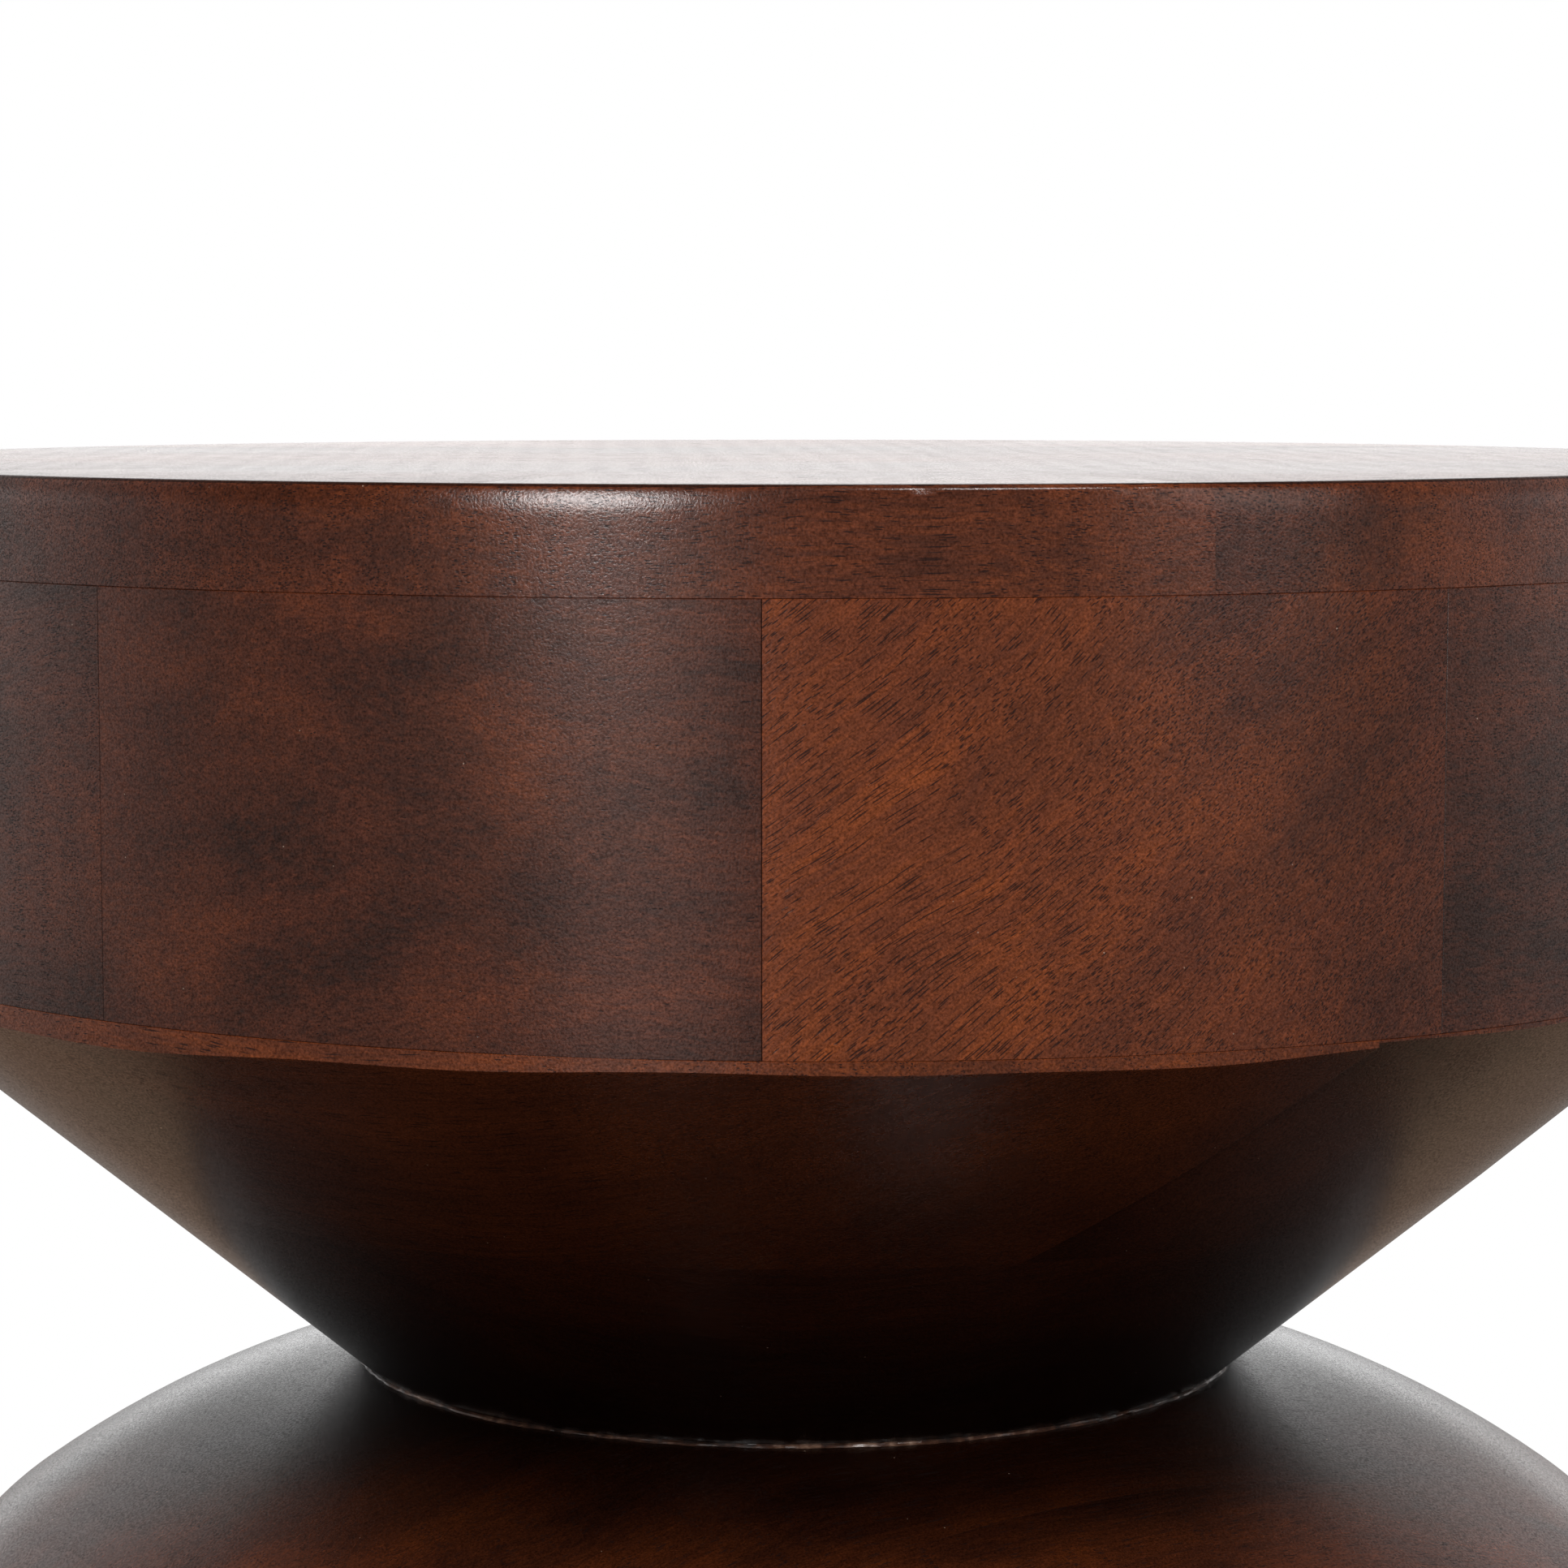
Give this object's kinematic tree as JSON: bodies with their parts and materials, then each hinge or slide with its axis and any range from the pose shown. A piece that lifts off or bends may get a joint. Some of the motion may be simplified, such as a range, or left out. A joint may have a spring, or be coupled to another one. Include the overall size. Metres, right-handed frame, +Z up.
{
  "type": "drum side table",
  "caption": "Round waisted wooden side table: a coopered drum under a flat top, a cone down to a narrow waist, and a domed foot on a coopered skirt.",
  "frame": {"origin": "on the floor, under the middle of the table", "axes": "+Z up through the table's axis; -Y is the front, +X is to the right seen from the front"},
  "size_m": [0.4064, 0.4064, 0.4572],
  "materials": {
    "top_wood": "satin lacquer over a dark walnut stain",
    "drum_wood": "satin lacquer over a dark walnut stain",
    "cone_wood": "satin lacquer over a dark walnut stain",
    "dome_wood": "satin lacquer over a dark walnut stain",
    "skirt_wood": "satin lacquer over a dark walnut stain",
    "raw_hardwood": "planed, unfinished",
    "panel_board": "stained plywood, matt",
    "zinc_steel": "zinc plated",
    "insert_brass": "plain",
    "glide_nylon": "moulded"
  },
  "bodies": {
    "root": {"bolt_washer": "zinc_steel", "bottom_panel": "panel_board", "cone_lower_board_1": "cone_wood", "cone_lower_board_2": "cone_wood", "cone_lower_board_3": "cone_wood", "cone_lower_board_4": "cone_wood", "cone_upper_board_1": "cone_wood", "cone_upper_board_2": "cone_wood", "cone_upper_board_3": "cone_wood", "cone_upper_board_4": "cone_wood", "dome_lower_board_1": "dome_wood", "dome_lower_board_2": "dome_wood", "dome_lower_board_3": "dome_wood", "dome_lower_board_4": "dome_wood", "dome_upper_board_1": "dome_wood", "dome_upper_board_2": "dome_wood", "dome_upper_board_3": "dome_wood", "dome_upper_board_4": "dome_wood", "drum_stave_1": "drum_wood", "drum_stave_10": "drum_wood", "drum_stave_2": "drum_wood", "drum_stave_3": "drum_wood", "drum_stave_4": "drum_wood", "drum_stave_5": "drum_wood", "drum_stave_6": "drum_wood", "drum_stave_7": "drum_wood", "drum_stave_8": "drum_wood", "drum_stave_9": "drum_wood", "glide_nails": "zinc_steel", "glides": "glide_nylon", "panel_cleats": "raw_hardwood", "panel_screws": "zinc_steel", "skirt_stave_1": "skirt_wood", "skirt_stave_10": "skirt_wood", "skirt_stave_2": "skirt_wood", "skirt_stave_3": "skirt_wood", "skirt_stave_4": "skirt_wood", "skirt_stave_5": "skirt_wood", "skirt_stave_6": "skirt_wood", "skirt_stave_7": "skirt_wood", "skirt_stave_8": "skirt_wood", "skirt_stave_9": "skirt_wood", "threaded_insert": "insert_brass", "top_board_1": "top_wood", "top_board_2": "top_wood", "top_board_3": "top_wood", "top_board_4": "top_wood", "top_board_5": "top_wood", "top_board_6": "top_wood", "top_board_7": "top_wood", "waist_bolt": "zinc_steel", "waist_dowels": "raw_hardwood"}
  },
  "joints": []
}
